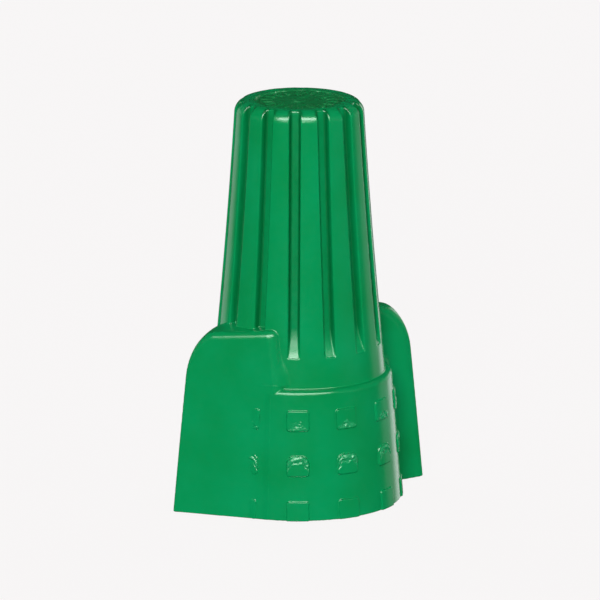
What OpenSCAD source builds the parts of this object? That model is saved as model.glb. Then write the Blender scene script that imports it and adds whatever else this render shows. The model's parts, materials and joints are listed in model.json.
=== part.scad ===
// Winged twist-on wire connector: a fluted cap and winged skirt moulded in one, over a tapered square-wire spring.
// Millimetres. The origin is the centre of the bottom rim, +Z runs up to the closed top, the wings lie along X.

/* [Cap] */
// Height from the bottom rim to the closed top
total_h = 31; // [30:0.5:33]
// Radius of the cap's side, carried up to the top
cap_top_r = 4.86; // [4.8:0.02:5]
// Radius of the collar where it meets the skirt
collar_r = 6.58; // [6.5:0.02:6.66]
// How far the cap's side bows in halfway up
cap_bow = 0.11; // [0:0.01:0.15]
// Radius of the rounded shoulder below the top
shoulder_r = 0.95; // [0.6:0.05:1.1]
// Radius of the shallow dish in the top
dish_r = 3.3; // [2.5:0.1:3.5]
// Depth of that dish
dish_depth = 0.15; // [0.05:0.05:0.4]

/* [Flutes] */
// Number of flutes round the cap, an even number so that both wings see the same pattern
flute_count = 14; // [10:2:16]
// Depth of a flute below the cap's side
flute_depth = 0.58; // [0.3:0.02:0.65]
// Width of a flute's floor
flute_floor_w = 0.66; // [0.3:0.02:0.7]
// Width of a flute at the cap's side
flute_mouth_w = 0.92; // [0.8:0.02:1.2]
// Height of the flutes' lower ends
flute_foot_z = 12.3; // [12:0.1:14]
// Radius on which a flute's floor runs out at its foot
flute_runout_r = 5.5; // [4:0.5:7]
// Small step left at a flute's foot
flute_lip = 0.08; // [0.04:0.02:0.12]
// Direction of the first flute
flute_phase = 8.5; // [0:0.5:25]

/* [Skirt] */
// Radius of the skirt at the bottom rim
skirt_r = 7.85; // [7.8:0.05:8.1]
// Radius of the skirt at its ledge
ledge_r = 7.08; // [7:0.02:7.2]
// Height of the ledge
ledge_z = 9.95; // [9.6:0.05:10]
// Radius of the ledge's outer edge
ledge_edge_r = 0.35; // [0.1:0.05:0.35]

/* [Grip pads] */
// Number of pads in each row, an even number
pad_count = 12; // [8:2:14]
// Heights of the pads' lower edges, one for each row
pad_rows = [0, 3.45, 6.9];
// Height of one pad
pad_h = 1.55; // [1:0.05:2]
// Width of one pad
pad_w = 1.7; // [1:0.05:2]
// How far a pad stands out of the skirt
pad_raise = 0.13; // [0.05:0.01:0.2]
// Direction of the first column of pads
pad_phase = 3; // [0:0.5:29]

/* [Wings] */
// Distance of a wing's tip from the centre at the rim
tip_r = 10.58; // [10.4:0.02:10.8]
// How much nearer the tip comes for each millimetre of height
tip_lean = 0.104; // [0.08:0.004:0.12]
// Height of the wings' top, carried in to the centre
wing_top_z = 15; // [14.6:0.1:15.4]
// How much the top falls for each millimetre outward along the wing
top_fall = 0.07; // [0:0.01:0.1]
// Slope of the top across the wing, down to the outer face
top_tilt = 6; // [0:0.5:8]
// Width of the oval corner between the top and the tip
corner_w = 2.65; // [1:0.05:3]
// Height of that corner
corner_h = 3.2; // [2:0.1:4.6]
// How far the outline's cut turns from square across the wings
cut_angle = 43; // [35:1:47]
// Direction that a wing's outer face looks in
outer_face_angle = 46; // [45:0.1:47]
// Direction in which a wing's inner face runs outward
inner_face_angle = 8; // [7:0.1:9]
// How far the inner face meets the skirt before the X axis
root_offset = 0.22; // [0.1:0.02:0.4]
// How far the wing's heel laps past the skirt's tangent line, at the ledge
heel_lap_foot = 0.9; // [0.8:0.05:1.2]
// The same at the wing's top
heel_lap_top = 0.2; // [0.1:0.05:0.7]

/* [Mouth and spring seat] */
// Radius of the round mouth that takes the insulated wires
mouth_r = 6.4; // [6.2:0.05:6.5]
// Length of the mouth's straight bore
mouth_len = 7; // [6:0.1:7.4]
// Radius of the lip that keeps the spring in
lip_r = 4.6; // [4.5:0.05:4.7]
// Height where the funnel reaches the lip
lip_z = 9.8; // [9.4:0.1:10]
// Height of the lip's straight land
lip_h = 0.6; // [0.4:0.1:0.8]
// Radius of the spring seat at its foot
seat_foot_r = 5; // [4.9:0.02:5.1]
// Radius of the spring seat at its end
seat_end_r = 3.4; // [3.3:0.02:3.5]
// Thickness of the closed top
top_wall = 1.6; // [1.4:0.1:2]

/* [Spring] */
// Side of the square wire
wire_side = 0.9; // [0.8:0.05:1]
// Number of turns
spring_turns = 12; // [9:0.5:12]
// Gap between the wire's outer edge and its seat
seat_gap = 0.03; // [0.02:0.01:0.1]
// Gap at each end of the spring
end_gap = 0.1; // [0.05:0.05:0.3]
// Flat segments that make one turn
turn_steps = 36; // [24:2:40]

/* [Hidden] */
$fn = 96;

// How far the wings' tips lie off the X axis
tip_y = -0.1;
cap_h = total_h - ledge_z;
skirt_lean = (skirt_r - ledge_r) / ledge_z;
cap_lean = (collar_r - cap_top_r) / cap_h;
lip_top_z = lip_z + lip_h;
seat_foot_z = lip_top_z + seat_foot_r - lip_r;
seat_end_z = total_h - top_wall;
wire_half = wire_side / sqrt(2);
spring_foot_z = seat_foot_z + end_gap + wire_half;
spring_end_z = seat_end_z - end_gap - wire_half;

// Radius of the cap's side at height z: a straight taper that bows in a little
function cap_r(z) =
    let (u = (total_h - z) / cap_h)
    cap_top_r + (collar_r - cap_top_r) * u - 4 * cap_bow * u * (1 - u);

// Radius of the skirt's side, and of the wings' outer faces, at height z
function skirt_side_r(z) = skirt_r - skirt_lean * z;

// Radius of the spring's seat at height z
function seat_r(z) =
    seat_foot_r + (seat_end_r - seat_foot_r) * (z - seat_foot_z) / (seat_end_z - seat_foot_z);

// Distance x along a wing as it measures across the turned cut
function cut_x(x) = x * cos(cut_angle) - tip_y * sin(cut_angle);

// Points of an arc about (cx, cz), from angle a1 to a2 in n steps
function arc(cx, cz, r, a1, a2, n) =
    [for (i = [0:n]) let (a = a1 + (a2 - a1) * i / n) [cx + r * cos(a), cz + r * sin(a)]];

// Outside of the cap, collar and skirt as one turned solid
module turned_body() {
    shoulder_z = total_h - shoulder_r;
    side_steps = 4;
    side = [for (i = [0:side_steps]) let (z = ledge_z + (shoulder_z - ledge_z) * i / side_steps) [cap_r(z), z]];
    edge_z = ledge_z - ledge_edge_r;
    rotate_extrude()
        polygon(concat(
            [[0, 0], [skirt_r, 0]],
            arc(skirt_side_r(edge_z) - ledge_edge_r, edge_z, ledge_edge_r, 0, 90, 3),
            side,
            arc(cap_r(shoulder_z) - shoulder_r, shoulder_z, shoulder_r, 15, 90, 5),
            [[0, total_h]]
        ));
}

// One flute, cut along +X: floor parallel to the cap's side, slanted walls, and a run-out at its foot
module flute() {
    over = 0.8;
    run_angle = acos(1 - (flute_depth - flute_lip) / flute_runout_r);
    run_z = flute_foot_z + flute_runout_r * sin(run_angle);
    run_steps = 4;
    floor_steps = 3;
    run_out = [
        for (i = [0:run_steps])
            let (
                a = run_angle * (1 - i / run_steps),
                z = run_z - flute_runout_r * sin(a)
            )
            [cap_r(z) - flute_depth + flute_runout_r * (1 - cos(a)), z]
    ];
    floor_line = [
        for (i = [1:floor_steps])
            let (z = run_z + (total_h + over - run_z) * i / floor_steps)
            [cap_r(z) - flute_depth, z]
    ];
    outside = [[collar_r + over, total_h + over], [collar_r + over, flute_foot_z]];
    widening = (flute_mouth_w - flute_floor_w) / 2 / flute_depth;
    inner_w = flute_floor_w / 2 - 0.2 * widening;
    outer_w = flute_mouth_w / 2 + over * widening;
    intersection() {
        rotate([90, 0, 0])
            linear_extrude(height = 2 * outer_w, center = true)
                polygon(concat(run_out, floor_line, outside));
        translate([cap_r(flute_foot_z), 0, flute_foot_z])
            rotate([0, -atan(cap_lean), 0])
                translate([0, 0, -1])
                    linear_extrude(height = cap_h)
                        polygon([
                            [-flute_depth - 0.2, -inner_w],
                            [over, -outer_w],
                            [over, outer_w],
                            [-flute_depth - 0.2, inner_w]
                        ]);
    }
}

// Raised grip pads on the skirt
module pads() {
    intersection() {
        cylinder(r1 = skirt_r + pad_raise, r2 = ledge_r + pad_raise, h = ledge_z);
        for (i = [0:pad_count - 1], foot = pad_rows)
            rotate([0, 0, pad_phase + 360 * i / pad_count])
                translate([mouth_r + 0.2, -pad_w / 2, foot == 0 ? -1 : foot])
                    cube([2, pad_w, foot == 0 ? pad_h + 1 : pad_h]);
    }
}

// The wing along +X: an upright wedge between a face tangent to the skirt and an almost radial face
module wing() {
    reach = 14;
    hold = 0.02;
    core_r = 4;
    corner_steps = 10;
    slant = 1 - tip_lean * top_fall;
    corner = [
        for (i = [0:corner_steps])
            let (
                a = 90 * i / corner_steps,
                out = tip_r - corner_w * (1 - cos(a)),
                high = wing_top_z - corner_h * (1 - sin(a))
            )
            [cut_x((out - tip_lean * high) / slant), (high - top_fall * out) / slant]
    ];
    intersection() {
        // Side outline, with the leaning tip and the oval top corner
        rotate([90 - top_tilt, 0, -cut_angle])
            linear_extrude(height = 2 * reach, center = true)
                polygon(concat([[0, 0], [cut_x(tip_r), 0]], corner, [[0, wing_top_z]]));
        // Everything on the outer side of the inner face
        translate([skirt_r, -root_offset, 0])
            rotate([0, 0, inner_face_angle])
                translate([-3, 0, 0])
                    cube([reach, reach, wing_top_z]);
        // Everything behind the outer face, as far as the heel
        rotate([0, 0, outer_face_angle])
            intersection() {
                rotate([90, 0, 0])
                    linear_extrude(height = 2 * reach, center = true)
                        polygon([
                            [core_r, 0],
                            [skirt_r + hold, 0],
                            [skirt_side_r(wing_top_z) + hold, wing_top_z],
                            [core_r, wing_top_z]
                        ]);
                rotate([90, 0, 90])
                    linear_extrude(height = reach)
                        polygon([
                            [-reach, 0],
                            [0, 0],
                            [0, ledge_z - ledge_edge_r],
                            [heel_lap_foot, ledge_z - ledge_edge_r],
                            [heel_lap_top, wing_top_z],
                            [-reach, wing_top_z]
                        ]);
            }
    }
}

// The space inside: straight mouth, funnel, spring-keeping lip and the spring's seat
module cavity() {
    rotate_extrude()
        polygon([
            [0, -1],
            [mouth_r, -1],
            [mouth_r, mouth_len],
            [lip_r, lip_z],
            [lip_r, lip_top_z],
            [seat_foot_r, seat_foot_z],
            [seat_end_r, seat_end_z],
            [0, seat_end_z]
        ]);
}

module shell() {
    color([0, 0.57, 0.31])
        difference() {
            union() {
                difference() {
                    turned_body();
                    for (i = [0:flute_count - 1])
                        rotate([0, 0, flute_phase + 360 * i / flute_count])
                            flute();
                }
                pads();
                for (side = [0, 180])
                    rotate([0, 0, side])
                        wing();
            }
            cavity();
            translate([0, 0, total_h - dish_depth])
                cylinder(r = dish_r, h = 1);
        }
}

// Square wire stood on its edge and wound into a cone, right-handed, so that it threads on clockwise
module spring() {
    rings = spring_turns * turn_steps;
    points = [
        for (i = [0:rings], corner = [0:3])
            let (
                share = i / rings,
                z = spring_foot_z + (spring_end_z - spring_foot_z) * share,
                centre_r = seat_r(z) - seat_gap - wire_half,
                turn = 360 * spring_turns * share,
                r = centre_r + wire_half * cos(90 * corner)
            )
            [r * cos(turn), r * sin(turn), z + wire_half * sin(90 * corner)]
    ];
    sides = [
        for (i = [0:rings - 1], corner = [0:3])
            let (
                a = 4 * i + corner,
                b = 4 * i + (corner + 1) % 4
            )
            [a, b, b + 4, a + 4]
    ];
    last = 4 * rings;
    color([0.75, 0.76, 0.78])
        polyhedron(
            points = points,
            faces = concat([[3, 2, 1, 0]], sides, [[last, last + 1, last + 2, last + 3]]),
            convexity = 10
        );
}

shell();
spring();
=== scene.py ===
"""Looks of the winged twist-on wire connector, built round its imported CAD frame.

The moulded shell is a signed-distance model, so every edge has its moulding radius, meshed by surface nets.
The spring is a square wire with rounded edges, swept along the same cone as the CAD spring.
Lengths inside the modelling functions are millimetres; a mesh is scaled to metres when it is made.
"""

import json
import math

import bmesh
import bpy
import numpy as np
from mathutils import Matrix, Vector


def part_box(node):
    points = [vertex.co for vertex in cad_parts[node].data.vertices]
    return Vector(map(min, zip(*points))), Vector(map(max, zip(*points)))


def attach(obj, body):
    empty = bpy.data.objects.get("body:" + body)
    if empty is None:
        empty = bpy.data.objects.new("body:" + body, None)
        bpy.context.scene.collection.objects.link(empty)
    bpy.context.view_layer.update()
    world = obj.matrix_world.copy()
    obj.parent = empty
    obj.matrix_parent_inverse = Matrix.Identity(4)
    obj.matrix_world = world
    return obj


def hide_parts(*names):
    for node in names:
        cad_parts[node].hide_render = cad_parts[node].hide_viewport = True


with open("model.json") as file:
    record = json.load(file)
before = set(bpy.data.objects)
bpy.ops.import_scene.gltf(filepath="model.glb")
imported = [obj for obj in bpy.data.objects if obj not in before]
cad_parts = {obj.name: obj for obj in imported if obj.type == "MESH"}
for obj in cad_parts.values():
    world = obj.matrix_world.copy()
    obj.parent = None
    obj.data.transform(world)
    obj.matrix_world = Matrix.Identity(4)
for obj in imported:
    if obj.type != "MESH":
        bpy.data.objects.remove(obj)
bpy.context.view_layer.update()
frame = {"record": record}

MM = 0.001

# ---------------------------------------------------------------- sizes, in millimetres and degrees
SHELL_LOW, SHELL_HIGH = (np.array(corner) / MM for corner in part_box("shell"))
TOTAL_H = SHELL_HIGH[2]
TIP_R = 10.58
MOUTH = next(m for m in frame["record"]["mounts"] if m["name"] == "wire_entry")
MOUTH_R = MOUTH["dims"]["r_mm"]
MOUTH_LEN = MOUTH["dims"]["length_mm"]

CAP_TOP_R = 4.86
COLLAR_R = 6.58
CAP_BOW = 0.11
SHOULDER_R = 0.95
DISH_R = 3.3
DISH_DEPTH = 0.15
RIM_LUMP_H = 0.09
BAR_COUNT = 18
BAR_PHASE = 4.0
BAR_W = 0.34
BAR_LEN = 0.9
BAR_RAISE = 0.13
BAR_CORNER_R = 0.1
BAR_RING_R = 2.5
GATE_RAISE = 0.1
GATE_DENT = 0.08
COARSE_GRAIN_H = 0.09
FINE_GRAIN_H = 0.05

FLUTE_COUNT = 14
FLUTE_PHASE = 8.5
FLUTE_DEPTH = 0.58
FLUTE_FLOOR_W = 0.66
FLUTE_MOUTH_W = 0.92
FLUTE_FOOT_Z = 12.3
FLUTE_RUNOUT_R = 5.5
FLUTE_LIP = 0.08
FLUTE_EDGE_R = 0.1
FLUTE_CORNER_R = 0.12

SKIRT_R = 7.85
LEDGE_R = 7.08
LEDGE_Z = 9.95
LEDGE_EDGE_R = 0.35
LEDGE_FILLET_R = 0.08

PAD_COUNT = 12
PAD_PHASE = 3.0
PAD_W = 1.7
PAD_RAISE = 0.13
PAD_ROWS = ((-1.0, 1.5), (3.45, 5.0), (6.9, 8.45))
PAD_H = PAD_ROWS[2][1] - PAD_ROWS[2][0]
PAD_CORNER_R = 0.2
PAD_ARCH_R = 0.55
PAD_EDGE_R = 0.06
PAD_FILLET_R = 0.05
SCUFF_FOOT_Z = 3.0
RIDGE_H = 0.06
CRUMB_H = 0.05
HEAP_H = 0.07

TIP_LEAN = 0.104
WING_TOP_Z = 15.0
TOP_FALL = 0.07
TOP_TILT = 6.0
CORNER_W = 2.65
CORNER_H = 3.2
CUT_ANGLE = 43.0
TIP_Y = -0.1
WING_EDGE_R = 0.22
WING_ROOT_EDGE_R = 0.5
TIP_EDGE_R = 0.15
OUTER_FACE_ANGLE = 46.0
INNER_FACE_ANGLE = 8.0
ROOT_OFFSET = 0.22
HEEL_LAP_FOOT = 0.9
HEEL_LAP_TOP = 0.2
HEEL_EDGE_R = 0.8
HEEL_FILLET_R = 0.5
HEEL_FILLET_LOSS = 0.46
WING_FILLET_R = 0.7
WING_SEAM_R = 0.01
RIM_EDGE_R = 0.07
DISH_EDGE_R = 0.12

LIP_R = 4.6
LIP_Z = 9.8
LIP_H = 0.6
SEAT_FOOT_R = 5.0
SEAT_END_R = 3.4
TOP_WALL = 1.6
CAVITY_EDGE_R = 0.12

WIRE_SIDE = 0.9
SPRING_TURNS = 12
SEAT_GAP = 0.03
END_GAP = 0.1

SEAT_FOOT_Z = LIP_Z + LIP_H + SEAT_FOOT_R - LIP_R
SEAT_END_Z = TOTAL_H - TOP_WALL
SKIRT_LEAN = (SKIRT_R - LEDGE_R) / LEDGE_Z
CAP_H = TOTAL_H - LEDGE_Z

GRID_STEP = 0.085
WIRE_STEPS = 90
MOST_TRIANGLES = 190000

# ---------------------------------------------------------------- distance helpers


def meet(a, b, r):
    """Intersection of two solids, with its edge rounded to radius r."""
    return np.minimum(np.maximum(a, b), -r) + np.hypot(np.maximum(a + r, 0), np.maximum(b + r, 0))


def join(a, b, r):
    """Union of two solids, with a fillet of radius r in the corner."""
    return -meet(-a, -b, r)


def cut(a, b, r):
    """Solid a less solid b, with its edge rounded to radius r."""
    return meet(a, -b, r)


def oval_corner(a, b, ra, rb):
    """Intersection of two solids whose common edge is a quarter oval, ra deep from a and rb deep from b."""
    u = np.maximum(a / ra + 1, 0)
    v = np.maximum(b / rb + 1, 0)
    size = np.maximum(np.hypot(u, v), 1e-6)
    return (size - 1) * size / np.hypot(u / ra, v / rb).clip(1e-6)


def ease(low, high, x):
    """0 below low, 1 above high, and a smooth step between."""
    t = np.clip((x - low) / (high - low), 0, 1)
    return t * t * (3 - 2 * t)


def fold(angle, count, phase):
    """Angle in degrees from the nearest of count equal directions, and that direction's number."""
    pitch = 360 / count
    number = np.round((angle - phase) / pitch)
    return angle - phase - number * pitch, np.mod(number, count).astype(np.int64)


def hashed(i, j, k):
    """A repeatable number from 0 to 1 for each triple of whole numbers."""
    n = (i * 73856093) ^ (j * 19349663) ^ (k * 83492791)
    n = (n ^ (n >> 13)) * 1274126177 & 0x7FFFFFFF
    return ((n ^ (n >> 16)) & 0xFFFF) / 65535


CUBE = [(c & 1, c >> 1 & 1, c >> 2 & 1) for c in range(8)]


def noise(x, y, z):
    """Smooth noise from -1 to 1 with cells of one unit."""
    cell = [np.floor(c).astype(np.int64) for c in (x, y, z)]
    part = [c - i for c, i in zip((x, y, z), cell)]
    part = [t * t * (3 - 2 * t) for t in part]
    total = 0
    for corner in CUBE:
        weight = 1
        for t, side in zip(part, corner):
            weight = weight * (t if side else 1 - t)
        total = total + weight * hashed(*(i + side for i, side in zip(cell, corner)))
    return 2 * total - 1


# ---------------------------------------------------------------- the shell as a distance field


def cap_radius(z):
    """Radius of the cap's side: a straight taper that bows in a little."""
    u = (TOTAL_H - z) / CAP_H
    return CAP_TOP_R + (COLLAR_R - CAP_TOP_R) * u - 4 * CAP_BOW * u * (1 - u)


def skirt_radius(z):
    return SKIRT_R - SKIRT_LEAN * z


def cap_field(r, z):
    return meet(r - cap_radius(z), z - TOTAL_H, SHOULDER_R)


def flute_sides(r, angle, z):
    """Distances from the walls and from the floor of the nearest flute, negative in its space."""
    off, _ = fold(angle, FLUTE_COUNT, FLUTE_PHASE)
    off = np.radians(off)
    depth = cap_radius(z) - r * np.cos(off)
    widening = (FLUTE_MOUTH_W - FLUTE_FLOOR_W) / 2 / FLUTE_DEPTH
    wall = (np.abs(r * np.sin(off)) - FLUTE_MOUTH_W / 2 + widening * depth) / math.hypot(1, widening)
    run_angle = math.acos(1 - (FLUTE_DEPTH - FLUTE_LIP) / FLUTE_RUNOUT_R)
    run_z = FLUTE_FOOT_Z + FLUTE_RUNOUT_R * math.sin(run_angle)
    to_centre = FLUTE_RUNOUT_R - FLUTE_DEPTH + depth
    arc = np.hypot(to_centre, np.minimum(z - run_z, 0)) - FLUTE_RUNOUT_R
    return wall, np.maximum(arc, FLUTE_FOOT_Z - z)


def painted_flute_shade(r, angle, z):
    """Share of painted shade in a flute, standing in for the shadow of its walls: 1 on its walls, less on
    its floor, 0 outside.
    """
    wall, floor = flute_sides(r, angle, z)
    depth = cap_radius(z) - r
    sunk = ease(0.03, 0.3, depth) * ease(1.0, 0.8, depth)
    beside = ease(0.25, 0.1, np.maximum(wall, floor))
    above_foot = ease(FLUTE_FOOT_Z + 0.3, FLUTE_FOOT_Z + 2.2, z)
    return sunk * beside * above_foot * (0.2 + 0.8 * ease(-0.16, -0.05, wall))


def pad_outline(r, angle, z):
    """Distance to the nearest pad's outline along the skirt, with the pad's column and row."""
    off, column = fold(angle, PAD_COUNT, PAD_PHASE)
    row = np.digitize(z, [(a[1] + b[0]) / 2 for a, b in zip(PAD_ROWS, PAD_ROWS[1:])])
    low = np.array([p[0] for p in PAD_ROWS])[row]
    high = np.array([p[1] for p in PAD_ROWS])[row]
    corner = np.where((row == 1) & (z > (low + high) / 2), PAD_ARCH_R, PAD_CORNER_R)
    across = np.abs(r * np.sin(np.radians(off))) - PAD_W / 2 + corner
    along = np.abs(z - (low + high) / 2) - (high - low) / 2 + corner
    outside = np.hypot(np.maximum(across, 0), np.maximum(along, 0))
    inside = np.minimum(np.maximum(across, along), 0)
    return outside + inside - corner, column, row


def scuffs(r, angle, z):
    """Where the plastic dragged on leaving its mould: its share, and the height of its ridges and crumbs.

    The middle row of pads has arched ridges on its upper part, the top row a heap of crumbs at its foot.
    """
    outline, column, row = pad_outline(r, angle, z)
    off, _ = fold(angle, PAD_COUNT, PAD_PHASE)
    across = r * np.sin(np.radians(off))
    low = np.array([p[0] for p in PAD_ROWS])[row]
    up = (z - low) / PAD_H
    strength = 0.45 + 0.55 * hashed(column, row, column * 3 + 5)
    wobble = 0.14 * noise(across * 3.5 + column * 9, z * 3, 2.5 + 0 * z)
    arch = up + wobble + 0.9 * across**4
    middle = (row == 1) * ease(0.5, 0.62, arch) * ease(1.1, 1.0, arch) * strength
    ridges = np.cos(2 * np.pi * (arch - 0.8) / 0.3)
    crumbs = noise(across * 4.5 + column * 5, z * 5.5, column * 7.5)
    heap = 0.55 - 0.5 * np.abs(across) + 0.12 * crumbs
    upper = (row == 2) * ease(heap, heap - 0.12, up) * ease(0.04, 0.12, up) * strength
    inside = ease(0.02, -0.1, outline)
    fine = noise(across * 9 + column * 5, z * 10, column * 3.5)
    height = middle * (RIDGE_H * ridges + CRUMB_H * crumbs) + upper * (HEAP_H * crumbs + CRUMB_H * fine)
    return (middle + upper) * inside, height * inside


def pad_field(r, angle, z):
    """The raised pads, with their scuffs."""
    outline, _, _ = pad_outline(r, angle, z)
    height = skirt_radius(z) + PAD_RAISE - r
    near = np.nonzero((outline < 0.1) & (np.abs(height) < 0.5) & (z > SCUFF_FOOT_Z))
    if near[0].size:
        height[near] += scuffs(r[near], angle[near], z[near])[1]
    return meet(outline, -height, PAD_EDGE_R)


def wing_field(x, y, z):
    """The wing along +X, a wedge between a face tangent to the skirt and a nearly radial face.

    Also gives the distance from the tangent face, negative behind it.
    """
    outer = math.radians(OUTER_FACE_ANGLE)
    inner = math.radians(INNER_FACE_ANGLE)
    face = x * math.cos(outer) + y * math.sin(outer) - skirt_radius(z)
    side = -(y + ROOT_OFFSET) * math.cos(inner) + (x - SKIRT_R) * math.sin(inner)
    past = y * math.cos(outer) - x * math.sin(outer)
    above = ease(LEDGE_Z - 0.55, LEDGE_Z - 0.2, z)
    lap = HEEL_LAP_FOOT + (HEEL_LAP_TOP - HEEL_LAP_FOOT) * (z - LEDGE_Z) / (WING_TOP_Z - LEDGE_Z)
    plan = np.maximum(face, past) * (1 - above) + meet(face, past - lap, HEEL_EDGE_R) * above
    plan = meet(plan, side, TIP_EDGE_R)
    turn = math.radians(CUT_ANGLE)
    tilt = math.radians(TOP_TILT)
    along = x - (y - TIP_Y) * math.tan(turn)
    high = z * math.cos(tilt) + (x * math.sin(turn) + y * math.cos(turn)) * math.sin(tilt)
    tip = (along - TIP_R + TIP_LEAN * high) * math.cos(turn)
    top = high - WING_TOP_Z + TOP_FALL * along
    elevation = oval_corner(tip, top, CORNER_W * math.cos(turn), CORNER_H)
    edge_r = WING_EDGE_R + (WING_ROOT_EDGE_R - WING_EDGE_R) * ease(10, 8, along)
    return meet(plan, elevation, edge_r), face


def cavity_profile():
    """Corners of the space inside, in radius and height, from the mouth to the seat's end."""
    return [
        (-1, -1),
        (MOUTH_R, -1),
        (MOUTH_R, MOUTH_LEN),
        (LIP_R, LIP_Z),
        (LIP_R, LIP_Z + LIP_H),
        (SEAT_FOOT_R, SEAT_FOOT_Z),
        (SEAT_END_R, SEAT_END_Z),
        (-1, SEAT_END_Z),
    ]


def polygon_field(px, pz, corners):
    """Signed distance to a polygon, negative inside."""
    nearest = np.full(px.shape, 1e9, np.float32)
    inside = np.zeros(px.shape, bool)
    for (ax, az), (bx, bz) in zip(corners, corners[1:] + corners[:1]):
        ex, ez = bx - ax, bz - az
        t = np.clip(((px - ax) * ex + (pz - az) * ez) / (ex * ex + ez * ez), 0, 1)
        nearest = np.minimum(nearest, (px - ax - ex * t) ** 2 + (pz - az - ez * t) ** 2)
        if ez:
            crosses = (az > pz) != (bz > pz)
            inside ^= crosses & (px < ax + ex * (pz - az) / ez)
    return np.where(inside, -1, 1) * np.sqrt(nearest)


def top_relief(x, y, r, angle):
    """Height of the marks in the dish on the top: a ring of short bars, a gate mark and a coarse grain."""
    off, _ = fold(angle, BAR_COUNT, BAR_PHASE)
    across = np.abs(r * np.sin(np.radians(off))) - BAR_W / 2
    bar = meet(across, np.abs(r - BAR_RING_R) - BAR_LEN / 2, BAR_CORNER_R)
    ring = BAR_RAISE * ease(0.1, -0.1, bar)
    gate = GATE_RAISE * ease(0.62, 0.4, r) - GATE_DENT * ease(0.35, 0.1, r)
    flat = np.zeros_like(x)
    coarse = COARSE_GRAIN_H * noise(x * 1.6, y * 1.6, 1.5 + flat)
    fine = FINE_GRAIN_H * noise(x * 3.6, y * 3.6, 4.5 + flat)
    return ring + gate + (coarse + fine)


def rim_relief(x, y, r):
    """Slow lumps on the rim round the dish."""
    flat = np.zeros_like(x)
    return RIM_LUMP_H * noise(x * 2.1, y * 2.1, 9.5 + flat) * ease(DISH_R + 1.0, DISH_R + 0.2, r)


def shell_field(x, y, z):
    """Signed distance to the moulded shell, negative in the plastic."""
    r = np.hypot(x, y)
    angle = np.degrees(np.arctan2(y, x))
    body = cut(cap_field(r, z), meet(*flute_sides(r, angle, z), FLUTE_CORNER_R), FLUTE_EDGE_R)
    skirt = meet(r - skirt_radius(z), z - LEDGE_Z, LEDGE_EDGE_R)
    body = join(body, skirt, LEDGE_FILLET_R)
    low = np.nonzero(z < LEDGE_Z)
    if low[0].size:
        body[low] = join(body[low], pad_field(r[low], angle[low], z[low]), PAD_FILLET_R)
    wing_zone = np.nonzero((z < WING_TOP_Z + 1) & (r > 3.5))
    if wing_zone[0].size:
        wx, wy, wz = x[wing_zone], y[wing_zone], z[wing_zone]
        for turn in (1, -1):
            wing, face = wing_field(turn * wx, turn * wy, wz)
            above = ease(LEDGE_Z, LEDGE_Z + 0.35, wz)
            inner = WING_FILLET_R * ease(-0.8, -2.0, face)
            heel = HEEL_FILLET_R - HEEL_FILLET_LOSS * ease(WING_TOP_Z - 4.0, WING_TOP_Z - 2.2, wz)
            fillet = WING_SEAM_R + inner * (1 - above) + heel * above
            body[wing_zone] = join(body[wing_zone], wing, fillet)
    body = meet(body, -z, RIM_EDGE_R)
    high = np.nonzero(z > TOTAL_H - 1.2)
    if high[0].size:
        hx, hy, hr, hz = x[high], y[high], r[high], z[high]
        floor = TOTAL_H - DISH_DEPTH + top_relief(hx, hy, hr, angle[high]) - hz
        dish = meet(hr - DISH_R, floor, DISH_EDGE_R)
        near_top = ease(TOTAL_H - 0.9, TOTAL_H - 0.4, hz)
        body[high] = cut(body[high], dish, DISH_EDGE_R) + rim_relief(hx, hy, hr) * near_top
    return cut(body, polygon_field(r, z, cavity_profile()), CAVITY_EDGE_R)


# ---------------------------------------------------------------- meshing


def in_chunks(field, points, size=400000):
    """The field's values at points, worked out a part at a time to save memory."""
    parts = [points[i : i + size] for i in range(0, len(points), size)]
    return np.concatenate([field(*(p[:, k].copy() for k in range(3))) for p in parts])


def sampled(field, low, high, step):
    """The field on a grid, with exact values only in the blocks of cells near the surface."""
    block = 4
    blocks = np.ceil((high - low) / (step * block)).astype(int)
    axes = [low[k] + step * block * (np.arange(blocks[k]) + 0.5) for k in range(3)]
    centres = np.stack(np.meshgrid(*axes, indexing="ij"), -1).reshape(-1, 3)
    coarse = in_chunks(field, centres).reshape(blocks)
    grid = np.repeat(np.repeat(np.repeat(coarse, block, 0), block, 1), block, 2).astype(np.float32)
    near = np.argwhere(np.abs(coarse) < step * block * 1.1 + 0.1)
    inner = np.stack(np.meshgrid(*[np.arange(block)] * 3, indexing="ij"), -1).reshape(-1, 3)
    index = (near[:, None, :] * block + inner[None]).reshape(-1, 3)
    grid[tuple(index.T)] = in_chunks(field, low + index * step)
    return grid


EDGES = [(a, b) for a in range(8) for b in range(a + 1, 8) if bin(a ^ b).count("1") == 1]


def net_vertices(grid, low, step):
    """One vertex in each cell that the grid's zero surface passes through, and its number for each cell."""
    inside = grid < 0
    shape = np.array(grid.shape) - 1
    count = np.zeros(shape, np.int8)
    for i, j, k in CUBE:
        count += inside[i : i + shape[0], j : j + shape[1], k : k + shape[2]]
    cells = np.argwhere((count > 0) & (count < 8))
    value = np.stack([grid[tuple((cells + c).T)] for c in CUBE], 1)
    total = np.zeros((len(cells), 3))
    hits = np.zeros(len(cells))
    for a, b in EDGES:
        crossed = (value[:, a] < 0) != (value[:, b] < 0)
        t = value[crossed, a] / (value[crossed, a] - value[crossed, b])
        start, end = np.array(CUBE[a]), np.array(CUBE[b])
        total[crossed] += start + t[:, None] * (end - start)
        hits[crossed] += 1
    number = np.full(shape, -1, np.int32)
    number[tuple(cells.T)] = np.arange(len(cells))
    return low + (cells + total / hits[:, None]) * step, number


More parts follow.
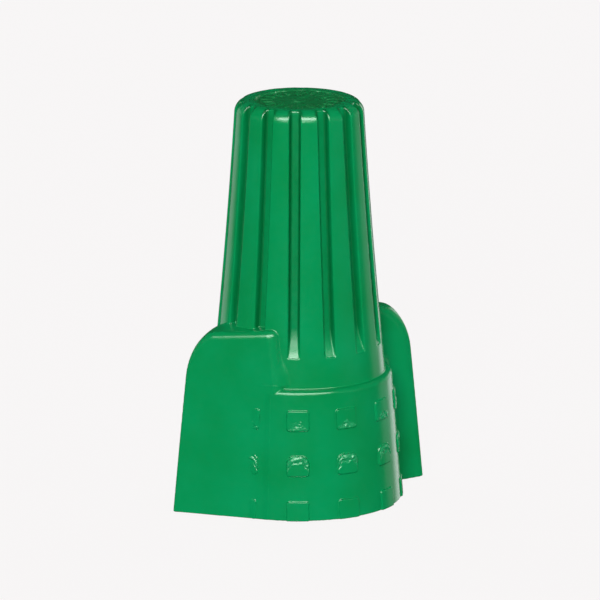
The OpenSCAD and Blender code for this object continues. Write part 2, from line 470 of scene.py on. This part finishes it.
def net_quads(inside, number):
    """A quad round each edge of the grid that the surface crosses, facing out of the solid."""
    quads = []
    for axis in range(3):
        u, v = (axis + 1) % 3, (axis + 2) % 3
        first = np.take(inside, range(inside.shape[axis] - 1), axis)
        second = np.take(inside, range(1, inside.shape[axis]), axis)
        at = np.argwhere(first != second)
        end_u, end_v = number.shape[u], number.shape[v]
        at = at[(at[:, u] > 0) & (at[:, v] > 0) & (at[:, u] < end_u) & (at[:, v] < end_v)]
        ring = []
        for du, dv in ((-1, -1), (0, -1), (0, 0), (-1, 0)):
            near = at.copy()
            near[:, u] += du
            near[:, v] += dv
            ring.append(number[tuple(near.T)])
        ring = np.stack(ring, 1)
        outward = first[tuple(at.T)]
        quads.append(np.where(outward[:, None], ring, ring[:, ::-1]))
    return np.concatenate(quads)


def slope_of(field, points, h=0.01):
    """Value and gradient of a field at points."""
    signs = np.array([(1, -1, -1), (-1, -1, 1), (-1, 1, -1), (1, 1, 1)])
    values = [in_chunks(field, points + h * s) for s in signs]
    gradient = sum(v[:, None] * s for v, s in zip(values, signs)) / (4 * h)
    return sum(values) / 4, gradient


def settled(field, points, limit, rounds=2):
    """Points moved onto the field's zero surface, each by no more than limit."""
    start = points.copy()
    for _ in range(rounds):
        value, gradient = slope_of(field, points)
        move = value[:, None] * gradient / np.maximum((gradient**2).sum(1), 0.2)[:, None]
        points = start + np.clip(points - move - start, -limit, limit)
    return points


def corner_normals(mesh, field):
    """Normals for the face corners, read a little inside each face so that a flat face stays flat."""
    points = points_of(mesh)
    corner_vertex = np.zeros(len(mesh.loops), np.int32)
    mesh.loops.foreach_get("vertex_index", corner_vertex)
    corners = points[corner_vertex].reshape(len(mesh.polygons), -1, 3)
    inward = corners.mean(1, keepdims=True) - corners
    reach = np.linalg.norm(inward, axis=2, keepdims=True)
    inside = corners + inward * np.minimum(0.3, 0.15 / np.maximum(reach, 1e-6))
    _, gradient = slope_of(field, inside.reshape(-1, 3))
    return gradient / np.linalg.norm(gradient, axis=1)[:, None]


def mesh_from(name, vertices, faces):
    """A mesh object from arrays: vertices in millimetres, faces all with the same number of corners."""
    mesh = bpy.data.meshes.new(name)
    mesh.vertices.add(len(vertices))
    mesh.vertices.foreach_set("co", (np.asarray(vertices) * MM).astype(np.float32).ravel())
    corners = faces.shape[1]
    mesh.loops.add(faces.size)
    mesh.loops.foreach_set("vertex_index", faces.astype(np.int32).ravel())
    mesh.polygons.add(len(faces))
    mesh.polygons.foreach_set("loop_start", np.arange(len(faces), dtype=np.int32) * corners)
    mesh.update(calc_edges=True)
    mesh.validate()
    piece = bpy.data.objects.new(name, mesh)
    bpy.context.scene.collection.objects.link(piece)
    return piece


def thinned(piece, most):
    """Collapses the piece's flat stretches until it has at most so many triangles."""
    triangles = 2 * len(piece.data.polygons)
    if triangles <= most:
        return
    modifier = piece.modifiers.new("thin", "DECIMATE")
    modifier.ratio = most / triangles
    modifier.use_collapse_triangulate = True
    evaluated = piece.evaluated_get(bpy.context.evaluated_depsgraph_get())
    mesh = bpy.data.meshes.new_from_object(evaluated)
    piece.modifiers.clear()
    piece.data = mesh


def points_of(mesh):
    """The mesh's vertices in millimetres."""
    flat = np.zeros(len(mesh.vertices) * 3, np.float32)
    mesh.vertices.foreach_get("co", flat)
    return flat.reshape(-1, 3).astype(float) / MM


def paint(mesh, name, values):
    """Stores one number for each vertex, for the material to read."""
    layer = mesh.attributes.new(name, "FLOAT", "POINT")
    layer.data.foreach_set("value", np.asarray(values, np.float32))


def paint_shell(mesh, points):
    """Stores where the shell is scuffed, and where it gets painted shade in a flute or on the top."""
    x, y, z = points.T
    r = np.hypot(x, y)
    angle = np.degrees(np.arctan2(y, x))
    wings = np.minimum(wing_field(x, y, z)[0], wing_field(-x, -y, z)[0])
    on_skirt = np.abs(r - skirt_radius(z)) < PAD_RAISE + 0.15
    skirt = (z < LEDGE_Z) & (z > SCUFF_FOOT_Z) & on_skirt & (wings > 0.03)
    paint(mesh, "scuff", skirt * scuffs(r, angle, z)[0])
    # Painted shade in the flutes: walls and floors are darkened where the shadow of the walls falls.
    paint(mesh, "flute", painted_flute_shade(r, angle, z) * (wings > 0.02))
    # Painted shade on the top: the dish is darkened for the dimmer light that falls from above.
    paint(mesh, "top", ease(TOTAL_H - 0.6, TOTAL_H - 0.3, z) * ease(DISH_R + 0.6, DISH_R - 0.1, r))


def make_shell():
    """The shell, meshed from its field, thinned, and shaded with normals read from the field."""
    margin = 3 * GRID_STEP
    low = SHELL_LOW - margin
    high = SHELL_HIGH + margin
    grid = sampled(shell_field, low, high, GRID_STEP)
    vertices, number = net_vertices(grid, low, GRID_STEP)
    quads = net_quads(grid < 0, number)
    vertices = settled(shell_field, vertices, GRID_STEP, 1)
    piece = mesh_from("moulded_shell", vertices, quads)
    thinned(piece, MOST_TRIANGLES)
    mesh = piece.data
    points = settled(shell_field, points_of(mesh), GRID_STEP / 2)
    mesh.vertices.foreach_set("co", (points * MM).astype(np.float32).ravel())
    mesh.polygons.foreach_set("use_smooth", np.ones(len(mesh.polygons), bool))
    mesh.update()
    mesh.normals_split_custom_set(corner_normals(mesh, shell_field))
    paint_shell(mesh, points)
    return piece


# ---------------------------------------------------------------- the spring


def seat_radius(z):
    """Radius of the spring's seat at height z."""
    share = (z - SEAT_FOOT_Z) / (SEAT_END_Z - SEAT_FOOT_Z)
    return SEAT_FOOT_R + (SEAT_END_R - SEAT_FOOT_R) * share


def wire_section(corner_r=0.1, corner_steps=3):
    """Outline of the square wire stood on its edge, with rounded edges, as points (outward, up)."""
    half = WIRE_SIDE / 2 - corner_r
    points = []
    for quarter in range(4):
        centre = math.radians(45 + 90 * quarter)
        for i in range(corner_steps + 1):
            a = math.radians(90 * quarter + 90 * i / corner_steps)
            px = math.copysign(half, math.cos(centre)) + corner_r * math.cos(a)
            pz = math.copysign(half, math.sin(centre)) + corner_r * math.sin(a)
            points.append(((px - pz) / math.sqrt(2), (px + pz) / math.sqrt(2)))
    return np.array(points)


def make_spring():
    """The spring's mesh, with the lengths along and round the wire stored for its drawn finish."""
    half = WIRE_SIDE / math.sqrt(2)
    foot = SEAT_FOOT_Z + END_GAP + half
    end = SEAT_END_Z - END_GAP - half
    rings = SPRING_TURNS * WIRE_STEPS + 1
    share = np.linspace(0, 1, rings)
    z = foot + (end - foot) * share
    turn = 2 * np.pi * SPRING_TURNS * share
    centre_r = seat_radius(z) - SEAT_GAP - half
    section = wire_section()
    r = centre_r[:, None] + section[None, :, 0]
    vertices = np.stack(
        [r * np.cos(turn)[:, None], r * np.sin(turn)[:, None], z[:, None] + section[None, :, 1]], -1
    ).reshape(-1, 3)
    sides = len(section)
    ring, corner = np.meshgrid(np.arange(rings - 1), np.arange(sides), indexing="ij")
    a = (ring * sides + corner).ravel()
    b = (ring * sides + (corner + 1) % sides).ravel()
    faces = np.stack([a, a + sides, b + sides, b], 1)
    piece = mesh_from("square_wire_spring", vertices, faces[:, ::-1])
    close_ends(piece, sides)
    mesh = piece.data
    mesh.polygons.foreach_set("use_smooth", np.ones(len(mesh.polygons), bool))
    length = np.cumsum(np.concatenate([[0], np.hypot(np.diff(turn) * centre_r[1:], np.diff(z))]))
    paint(mesh, "along", np.repeat(length, sides))
    paint(mesh, "around", np.tile(np.abs(2 * np.arange(sides) / sides - 1), rings))
    return piece


def close_ends(piece, sides):
    """Caps both ends of the wire with a face cut square across it."""
    work = bmesh.new()
    work.from_mesh(piece.data)
    work.verts.ensure_lookup_table()
    work.faces.new(work.verts[:sides][::-1])
    work.faces.new(work.verts[-sides:])
    bmesh.ops.recalc_face_normals(work, faces=work.faces)
    work.to_mesh(piece.data)
    work.free()


# ---------------------------------------------------------------- materials
GREEN = (0.0004, 0.285, 0.092, 1)
DEEP_GREEN = (0.0002, 0.25, 0.068, 1)
# Painted shade for the flutes' walls and floors.
FLUTE_PAINTED_SHADE_GREEN = (0.0, 0.07, 0.012, 1)
# Painted shade for the top, which gets less light from above than the sides.
TOP_PAINTED_SHADE_GREEN = (0.0, 0.13, 0.025, 1)
SCUFFED_GREEN = (0.02, 0.36, 0.14, 1)
DARK_ZINC = (0.60, 0.61, 0.63, 1)
LIGHT_ZINC = (0.78, 0.79, 0.80, 1)


def new_material(name):
    """A material with its node tree and its shader."""
    material = bpy.data.materials.new(name)
    material.use_nodes = True
    tree = material.node_tree
    return material, tree, tree.nodes["Principled BSDF"]


def node(tree, kind, **settings):
    """A new node, with each setting given to the socket or the property of that name."""
    made = tree.nodes.new(kind)
    for key, value in settings.items():
        if key in made.inputs:
            made.inputs[key].default_value = value
        else:
            setattr(made, key, value)
    return made


def attribute(tree, name):
    return node(tree, "ShaderNodeAttribute", attribute_name=name).outputs["Fac"]


def noise_of(tree, place, scale, detail=3.0):
    made = node(tree, "ShaderNodeTexNoise", Scale=scale, Detail=detail)
    tree.links.new(place, made.inputs["Vector"])
    return made.outputs["Fac"]


def remap(tree, value, low, high, to_low, to_high):
    made = node(tree, "ShaderNodeMapRange")
    for key, number in zip(("From Min", "From Max", "To Min", "To Max"), (low, high, to_low, to_high)):
        made.inputs[key].default_value = number
    tree.links.new(value, made.inputs["Value"])
    return made.outputs["Result"]


def feed(tree, sockets, values):
    """Gives each socket its value, or a link if the value is another node's output."""
    for socket, value in zip(sockets, values):
        if isinstance(value, bpy.types.NodeSocket):
            tree.links.new(value, socket)
        else:
            socket.default_value = value


def mix_colour(tree, share, first, second):
    made = tree.nodes.new("ShaderNodeMix")
    made.data_type = "RGBA"
    tree.links.new(share, made.inputs["Factor"])
    feed(tree, (made.inputs["A"], made.inputs["B"]), (first, second))
    return made.outputs["Result"]


def maths(tree, operation, first, second):
    made = node(tree, "ShaderNodeMath", operation=operation)
    feed(tree, made.inputs, (first, second))
    return made.outputs["Value"]


def painted(tree, name, share):
    """A share of one of the numbers painted on the mesh."""
    return maths(tree, "MULTIPLY", attribute(tree, name), share)


def plastic():
    """Glossy green plastic, with painted shade in the flutes, painted shade and dullness on top, pale and
    dull where scuffed.
    """
    material, tree, shader = new_material("moulded_green_plastic")
    place = tree.nodes.new("ShaderNodeTexCoord").outputs["Object"]
    flow = remap(tree, noise_of(tree, place, 200), 0.35, 0.65, 0, 1)
    speckle = noise_of(tree, place, 2600, 5)
    colour = mix_colour(tree, flow, GREEN, DEEP_GREEN)
    # Painted shade in the flutes, darkening the walls more than the floors.
    colour = mix_colour(tree, painted(tree, "flute", 0.6), colour, FLUTE_PAINTED_SHADE_GREEN)
    # Painted shade on the top, for the dimmer light from above.
    colour = mix_colour(tree, painted(tree, "top", 0.7), colour, TOP_PAINTED_SHADE_GREEN)
    colour = mix_colour(tree, painted(tree, "scuff", 0.5), colour, SCUFFED_GREEN)
    tree.links.new(colour, shader.inputs["Base Color"])
    rough = remap(tree, speckle, 0.3, 0.7, 0.17, 0.25)
    rough = maths(tree, "ADD", rough, painted(tree, "scuff", 0.12))
    rough = maths(tree, "ADD", rough, painted(tree, "top", 0.17))
    tree.links.new(rough, shader.inputs["Roughness"])
    bump = node(tree, "ShaderNodeBump", Strength=0.12, Distance=0.00004)
    tree.links.new(noise_of(tree, place, 900, 2), bump.inputs["Height"])
    tree.links.new(bump.outputs["Normal"], shader.inputs["Normal"])
    return material


def zinc():
    """Zinc-plated steel with fine drawing lines along the wire."""
    material, tree, shader = new_material("zinc_plated_wire")
    shader.inputs["Metallic"].default_value = 1.0
    lines = node(tree, "ShaderNodeCombineXYZ")
    tree.links.new(painted(tree, "along", 0.05), lines.inputs["X"])
    tree.links.new(painted(tree, "around", 0.3), lines.inputs["Y"])
    drawn = noise_of(tree, lines.outputs["Vector"], 30, 4)
    place = tree.nodes.new("ShaderNodeTexCoord").outputs["Object"]
    cloud = noise_of(tree, place, 900)
    colour = mix_colour(tree, cloud, DARK_ZINC, LIGHT_ZINC)
    tree.links.new(colour, shader.inputs["Base Color"])
    tree.links.new(remap(tree, drawn, 0.3, 0.7, 0.25, 0.35), shader.inputs["Roughness"])
    bump = node(tree, "ShaderNodeBump", Strength=0.1, Distance=0.000008)
    tree.links.new(drawn, bump.inputs["Height"])
    tree.links.new(bump.outputs["Normal"], shader.inputs["Normal"])
    return material


# ---------------------------------------------------------------- stage, lights and camera
PALE = (0.945, 0.928, 0.928, 1)
CAMERA_AZIMUTH = -26.2
CAMERA_ELEVATION = 14.0
CAMERA_DISTANCE = 0.496
CAMERA_LENS = 390.5
AIM_RIGHT = 0.057
AIM_Z = 15.3
LAMP_DISTANCE = 0.5
LIGHTING_WORLD = (0.14, 0.14, 0.14, 1)
REFLECTED_WORLD = (0.018, 0.022, 0.022, 1)
FLOOR_HALF_SIZE = 3.0
FLOOR_LEVEL = -0.02 * MM
FLOOR_LIGHT = (0.16, 0.16, 0.16, 1)
FLOOR_MATT = (0.8, 0.8, 0.8, 1)
FLOOR_MATT_SHARE = 0.04
TURN = math.radians(CAMERA_AZIMUTH)
AIM = MM * Vector((AIM_RIGHT * math.cos(TURN), AIM_RIGHT * math.sin(TURN), AIM_Z))


def direction(azimuth, elevation):
    """Unit vector from the object towards a place, with the azimuth counted to the right of the camera."""
    a = math.radians(CAMERA_AZIMUTH + azimuth)
    e = math.radians(elevation)
    return Vector((math.sin(a) * math.cos(e), -math.cos(a) * math.cos(e), math.sin(e)))


def make_camera():
    """The camera, at the photo's angle."""
    camera = bpy.data.objects.new("camera", bpy.data.cameras.new("camera"))
    bpy.context.scene.collection.objects.link(camera)
    camera.data.lens = CAMERA_LENS
    camera.data.clip_start = 0.01
    camera.data.clip_end = 10
    back = direction(0, CAMERA_ELEVATION)
    camera.location = AIM + back * CAMERA_DISTANCE
    camera.rotation_mode = "QUATERNION"
    camera.rotation_quaternion = (-back).to_track_quat("-Z", "Y")
    bpy.context.scene.camera = camera


def lamp(name, azimuth, elevation, width, height, power):
    """A rectangular lamp that faces the object."""
    light = bpy.data.lights.new(name, "AREA")
    light.shape = "RECTANGLE"
    light.size, light.size_y = width, height
    light.energy = power
    made = bpy.data.objects.new(name, light)
    bpy.context.scene.collection.objects.link(made)
    towards = direction(azimuth, elevation)
    made.location = AIM + towards * LAMP_DISTANCE
    made.rotation_mode = "QUATERNION"
    made.rotation_quaternion = towards.to_track_quat("Z", "Y")
    made.visible_camera = False
    return made


def card(name, azimuth, elevation, width, height, radiance):
    """A bright card that shows only in reflections."""
    made = lamp(name, azimuth, elevation, width, height, radiance * math.pi * width * height)
    made.visible_diffuse = False


def fill(name, azimuth, elevation, power, size=0.3):
    """A soft lamp that shows in no reflection."""
    made = lamp(name, azimuth, elevation, size, size, power)
    made.visible_glossy = False


def make_lights():
    """The cards that draw the highlights, and the fills that light the plastic's own colour."""
    card("key_card", 0, 46, 0.66, 0.2, 12)
    card("front_card", -4, 24, 0.5, 0.12, 4)
    card("groove_card", -9.5, 11, 0.11, 0.13, 1.8)
    card("right_card", 150, -4, 0.17, 0.3, 1.4)
    card("side_card", 128, -4, 0.22, 0.3, 0.4)
    card("left_card", -140, -6, 0.2, 0.3, 0.7)
    card("under_card", 0, -90, 0.2, 0.2, 12)
    fill("under_fill", 0, -90, 0.6, 0.06)
    fill("front_fill", -5, 20, 2.3, 0.16)
    fill("right_fill", 75, 12, 0.85)
    fill("left_fill", -80, 12, 0.65)
    fill("back_right_fill", 140, 20, 1.1)
    fill("back_left_fill", -140, 20, 1.1)


def make_world():
    """A world that is pale in the picture, dim in its light and nearly black in reflections."""
    world = bpy.data.worlds.new("studio")
    bpy.context.scene.world = world
    world.use_nodes = True
    tree = world.node_tree
    background = tree.nodes["Background"]
    rays = tree.nodes.new("ShaderNodeLightPath")
    shown = mix_colour(tree, rays.outputs["Is Camera Ray"], LIGHTING_WORLD, PALE)
    shown = mix_colour(tree, rays.outputs["Is Glossy Ray"], shown, REFLECTED_WORLD)
    tree.links.new(shown, background.inputs["Color"])


def floor_material():
    """Pale to the camera with a little shadow, dim to other rays, and clear from below."""
    material = bpy.data.materials.new("pale_floor")
    material.use_nodes = True
    tree = material.node_tree
    tree.nodes.remove(tree.nodes["Principled BSDF"])
    glow = node(tree, "ShaderNodeEmission", Color=PALE)
    matt = node(tree, "ShaderNodeBsdfDiffuse", Color=FLOOR_MATT)
    blend = node(tree, "ShaderNodeMixShader", Fac=FLOOR_MATT_SHARE)
    tree.links.new(glow.outputs[0], blend.inputs[1])
    tree.links.new(matt.outputs[0], blend.inputs[2])
    dim = node(tree, "ShaderNodeEmission", Color=FLOOR_LIGHT)
    rays = tree.nodes.new("ShaderNodeLightPath")
    by_ray = tree.nodes.new("ShaderNodeMixShader")
    tree.links.new(rays.outputs["Is Camera Ray"], by_ray.inputs[0])
    tree.links.new(dim.outputs[0], by_ray.inputs[1])
    tree.links.new(blend.outputs[0], by_ray.inputs[2])
    clear = tree.nodes.new("ShaderNodeBsdfTransparent")
    sided = tree.nodes.new("ShaderNodeMixShader")
    tree.links.new(tree.nodes.new("ShaderNodeNewGeometry").outputs["Backfacing"], sided.inputs[0])
    tree.links.new(by_ray.outputs[0], sided.inputs[1])
    tree.links.new(clear.outputs[0], sided.inputs[2])
    tree.links.new(sided.outputs[0], tree.nodes["Material Output"].inputs["Surface"])
    return material


def make_floor():
    """A floor just below the rim, so that the two don't lie in one plane."""
    far, level = FLOOR_HALF_SIZE, FLOOR_LEVEL
    mesh = bpy.data.meshes.new("floor")
    corners = [(-far, -far, level), (far, -far, level), (far, far, level), (-far, far, level)]
    mesh.from_pydata(corners, [], [(0, 1, 2, 3)])
    mesh.materials.append(floor_material())
    floor = bpy.data.objects.new("floor", mesh)
    bpy.context.scene.collection.objects.link(floor)
    floor.visible_glossy = False


def place(piece, material, cad_node, slot):
    """Gives a piece its material, hangs it from the root body and hides the CAD node that it stands for."""
    piece.data.materials.clear()
    piece.data.materials.append(material)
    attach(piece, "root")
    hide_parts(cad_node)


make_camera()
make_lights()
make_world()
make_floor()
place(make_shell(), plastic(), "shell", "shell_plastic")
place(make_spring(), zinc(), "spring", "spring_steel")
bpy.context.scene.view_settings.view_transform = "Standard"
